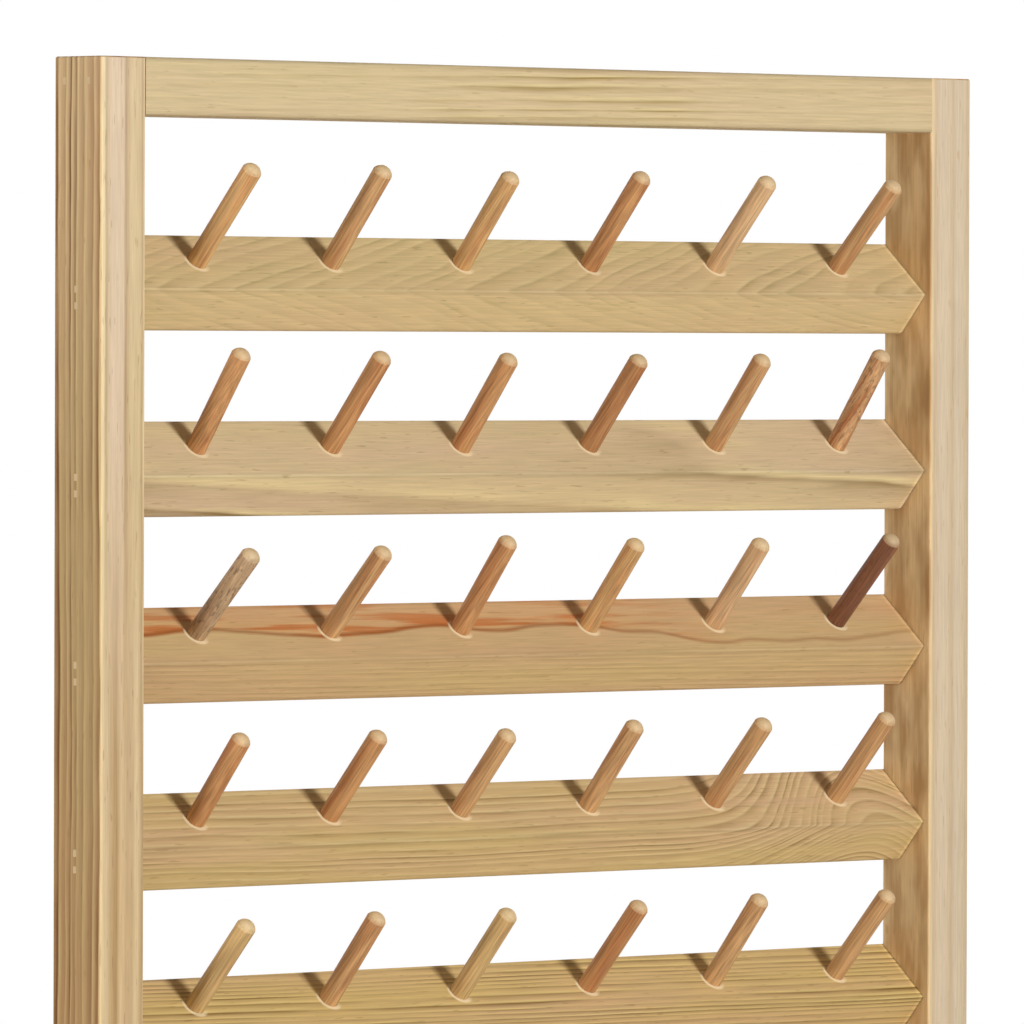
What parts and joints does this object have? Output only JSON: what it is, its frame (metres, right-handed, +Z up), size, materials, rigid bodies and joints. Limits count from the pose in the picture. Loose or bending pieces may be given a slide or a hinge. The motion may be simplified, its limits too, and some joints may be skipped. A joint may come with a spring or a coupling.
{
  "type": "thread rack",
  "caption": "Free-standing wooden thread rack: a pine frame on side feet, with sloping rails that carry rows of upright dowel pegs for thread spools.",
  "frame": {"origin": "on the surface that the rack stands on, under the middle of its frame and halfway along its feet", "axes": "+Z up, +X to the right as seen from the front, and the pegs lean out towards -Y, the front"},
  "size_m": [0.4246, 0.21, 0.6431],
  "materials": {
    "pine": "planed and sanded, unfinished",
    "dowel": "sanded hardwood dowel, unfinished",
    "wood_filler": "sanded wood filler",
    "brad_steel": "bright steel",
    "screw_steel": "zinc plated"
  },
  "bodies": {
    "root": {"left_stile": "pine", "left_foot": "pine", "left_brads": "brad_steel", "left_fillers": "wood_filler", "left_foot_screws": "screw_steel", "right_stile": "pine", "right_foot": "pine", "right_brads": "brad_steel", "right_fillers": "wood_filler", "right_foot_screws": "screw_steel", "top_rail": "pine", "bottom_rail": "pine", "peg_rail_1": "pine", "pegs_row_1": "dowel", "peg_rail_2": "pine", "pegs_row_2": "dowel", "peg_rail_3": "pine", "pegs_row_3": "dowel", "peg_rail_4": "pine", "pegs_row_4": "dowel", "peg_rail_5": "pine", "pegs_row_5": "dowel", "peg_rail_6": "pine", "pegs_row_6": "dowel", "peg_rail_7": "pine", "pegs_row_7": "dowel", "peg_rail_8": "pine", "pegs_row_8": "dowel", "peg_rail_9": "pine", "pegs_row_9": "dowel", "peg_rail_10": "pine", "pegs_row_10": "dowel"}
  },
  "joints": []
}
